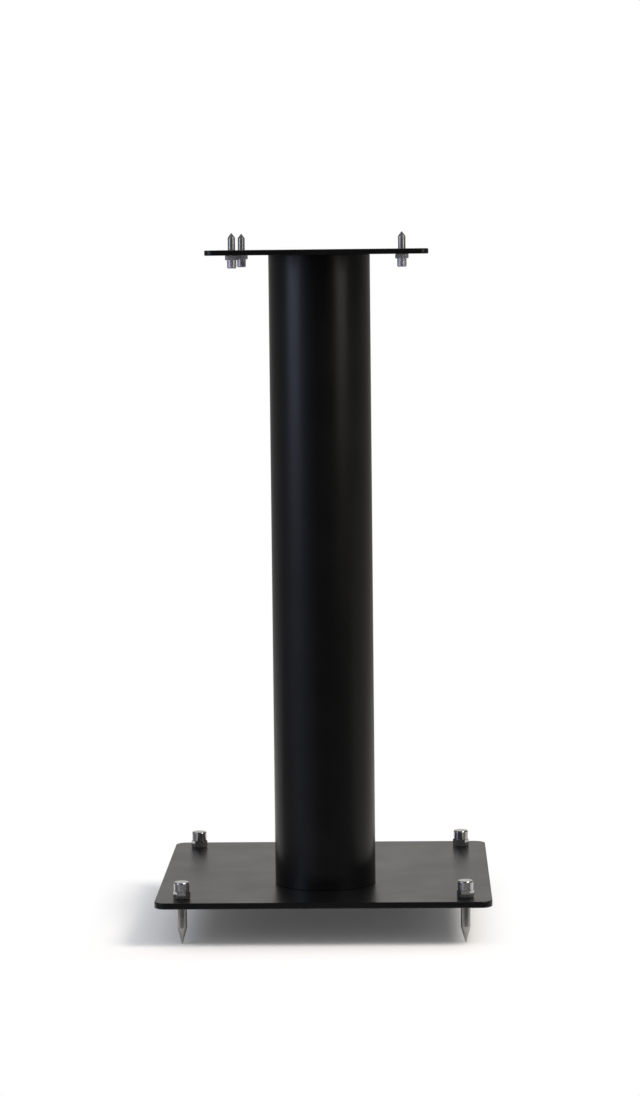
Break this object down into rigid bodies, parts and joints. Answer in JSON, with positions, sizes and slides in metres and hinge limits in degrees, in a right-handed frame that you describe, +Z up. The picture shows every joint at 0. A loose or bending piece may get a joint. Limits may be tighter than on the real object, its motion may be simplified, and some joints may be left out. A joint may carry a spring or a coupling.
{
  "type": "speaker stand",
  "caption": "Loudspeaker stand: round steel column between a square base plate and a top plate, levelled by pointed spikes with lock nuts and caps.",
  "frame": {"origin": "on the floor under the centre of the base plate, at the bottom centre of the bounding box", "axes": "+Z up along the column; the front, with the column's nearer plate edge, faces -Y; +X is the right side seen from the front"},
  "size_m": [0.292, 0.292, 0.614],
  "materials": {
    "black_powder_coat": "satin powder coat",
    "bare_steel": "bare mild steel",
    "black_oxide_screw": "black oxide",
    "steel_spike": "turned steel",
    "nickel_nut": "bright nickel plate",
    "nickel_cap": "polished nickel plate",
    "steel_point": "turned steel",
    "zinc_nut": "zinc plate",
    "zinc_cap": "zinc plate"
  },
  "bodies": {
    "stand": {"base_plate": "black_powder_coat", "column_tube": "black_powder_coat", "column_bottom_flange": "bare_steel", "column_top_flange": "bare_steel", "top_plate": "black_powder_coat", "base_fixing_screws": "black_oxide_screw", "top_fixing_screws": "black_oxide_screw"},
    "floor_spike_front_left": {"floor_spike_front_left": "steel_spike"},
    "lower_nut_front_left": {"lower_nut_front_left": "nickel_nut"},
    "lower_cap_front_left": {"lower_cap_front_left": "nickel_cap"},
    "upper_spike_front_left": {"upper_spike_front_left": "steel_point"},
    "upper_nut_front_left": {"upper_nut_front_left": "zinc_nut"},
    "upper_cap_front_left": {"upper_cap_front_left": "zinc_cap"},
    "floor_spike_front_right": {"floor_spike_front_right": "steel_spike"},
    "lower_nut_front_right": {"lower_nut_front_right": "nickel_nut"},
    "lower_cap_front_right": {"lower_cap_front_right": "nickel_cap"},
    "upper_spike_front_right": {"upper_spike_front_right": "steel_point"},
    "upper_nut_front_right": {"upper_nut_front_right": "zinc_nut"},
    "upper_cap_front_right": {"upper_cap_front_right": "zinc_cap"},
    "floor_spike_back_left": {"floor_spike_back_left": "steel_spike"},
    "lower_nut_back_left": {"lower_nut_back_left": "nickel_nut"},
    "lower_cap_back_left": {"lower_cap_back_left": "nickel_cap"},
    "upper_spike_back_left": {"upper_spike_back_left": "steel_point"},
    "upper_nut_back_left": {"upper_nut_back_left": "zinc_nut"},
    "upper_cap_back_left": {"upper_cap_back_left": "zinc_cap"},
    "floor_spike_back_right": {"floor_spike_back_right": "steel_spike"},
    "lower_nut_back_right": {"lower_nut_back_right": "nickel_nut"},
    "lower_cap_back_right": {"lower_cap_back_right": "nickel_cap"},
    "upper_spike_back_right": {"upper_spike_back_right": "steel_point"},
    "upper_nut_back_right": {"upper_nut_back_right": "zinc_nut"},
    "upper_cap_back_right": {"upper_cap_back_right": "zinc_cap"}
  },
  "joints": [
    {"name": "screw_floor_spike_front_left", "type": "slide", "parent": "stand", "child": "floor_spike_front_left", "axis": [0, 0, 1], "range_m": [-0.005, 0]},
    {"name": "turn_lower_nut_front_left", "type": "hinge", "parent": "stand", "child": "lower_nut_front_left", "pos_m": [-0.123, -0.123, 0.04], "axis": [0, 0, 1], "continuous": true},
    {"name": "turn_lower_cap_front_left", "type": "hinge", "parent": "stand", "child": "lower_cap_front_left", "pos_m": [-0.123, -0.123, 0.0465], "axis": [0, 0, 1], "continuous": true},
    {"name": "screw_upper_spike_front_left", "type": "slide", "parent": "stand", "child": "upper_spike_front_left", "axis": [0, 0, 1], "range_m": [0, 0.004]},
    {"name": "turn_upper_nut_front_left", "type": "hinge", "parent": "stand", "child": "upper_nut_front_left", "pos_m": [-0.0725, -0.1235, 0.595], "axis": [0, 0, 1], "continuous": true},
    {"name": "turn_upper_cap_front_left", "type": "hinge", "parent": "stand", "child": "upper_cap_front_left", "pos_m": [-0.0725, -0.1235, 0.591], "axis": [0, 0, 1], "continuous": true},
    {"name": "screw_floor_spike_front_right", "type": "slide", "parent": "stand", "child": "floor_spike_front_right", "axis": [0, 0, 1], "range_m": [-0.005, 0]},
    {"name": "turn_lower_nut_front_right", "type": "hinge", "parent": "stand", "child": "lower_nut_front_right", "pos_m": [0.123, -0.123, 0.04], "axis": [0, 0, 1], "continuous": true},
    {"name": "turn_lower_cap_front_right", "type": "hinge", "parent": "stand", "child": "lower_cap_front_right", "pos_m": [0.123, -0.123, 0.0465], "axis": [0, 0, 1], "continuous": true},
    {"name": "screw_upper_spike_front_right", "type": "slide", "parent": "stand", "child": "upper_spike_front_right", "axis": [0, 0, 1], "range_m": [0, 0.004]},
    {"name": "turn_upper_nut_front_right", "type": "hinge", "parent": "stand", "child": "upper_nut_front_right", "pos_m": [0.0725, -0.1235, 0.595], "axis": [0, 0, 1], "continuous": true},
    {"name": "turn_upper_cap_front_right", "type": "hinge", "parent": "stand", "child": "upper_cap_front_right", "pos_m": [0.0725, -0.1235, 0.591], "axis": [0, 0, 1], "continuous": true},
    {"name": "screw_floor_spike_back_left", "type": "slide", "parent": "stand", "child": "floor_spike_back_left", "axis": [0, 0, 1], "range_m": [-0.005, 0]},
    {"name": "turn_lower_nut_back_left", "type": "hinge", "parent": "stand", "child": "lower_nut_back_left", "pos_m": [-0.123, 0.123, 0.04], "axis": [0, 0, 1], "continuous": true},
    {"name": "turn_lower_cap_back_left", "type": "hinge", "parent": "stand", "child": "lower_cap_back_left", "pos_m": [-0.123, 0.123, 0.0465], "axis": [0, 0, 1], "continuous": true},
    {"name": "screw_upper_spike_back_left", "type": "slide", "parent": "stand", "child": "upper_spike_back_left", "axis": [0, 0, 1], "range_m": [0, 0.004]},
    {"name": "turn_upper_nut_back_left", "type": "hinge", "parent": "stand", "child": "upper_nut_back_left", "pos_m": [-0.0725, 0.0435, 0.595], "axis": [0, 0, 1], "continuous": true},
    {"name": "turn_upper_cap_back_left", "type": "hinge", "parent": "stand", "child": "upper_cap_back_left", "pos_m": [-0.0725, 0.0435, 0.591], "axis": [0, 0, 1], "continuous": true},
    {"name": "screw_floor_spike_back_right", "type": "slide", "parent": "stand", "child": "floor_spike_back_right", "axis": [0, 0, 1], "range_m": [-0.005, 0]},
    {"name": "turn_lower_nut_back_right", "type": "hinge", "parent": "stand", "child": "lower_nut_back_right", "pos_m": [0.123, 0.123, 0.04], "axis": [0, 0, 1], "continuous": true},
    {"name": "turn_lower_cap_back_right", "type": "hinge", "parent": "stand", "child": "lower_cap_back_right", "pos_m": [0.123, 0.123, 0.0465], "axis": [0, 0, 1], "continuous": true},
    {"name": "screw_upper_spike_back_right", "type": "slide", "parent": "stand", "child": "upper_spike_back_right", "axis": [0, 0, 1], "range_m": [0, 0.004]},
    {"name": "turn_upper_nut_back_right", "type": "hinge", "parent": "stand", "child": "upper_nut_back_right", "pos_m": [0.0725, 0.0435, 0.595], "axis": [0, 0, 1], "continuous": true},
    {"name": "turn_upper_cap_back_right", "type": "hinge", "parent": "stand", "child": "upper_cap_back_right", "pos_m": [0.0725, 0.0435, 0.591], "axis": [0, 0, 1], "continuous": true}
  ]
}
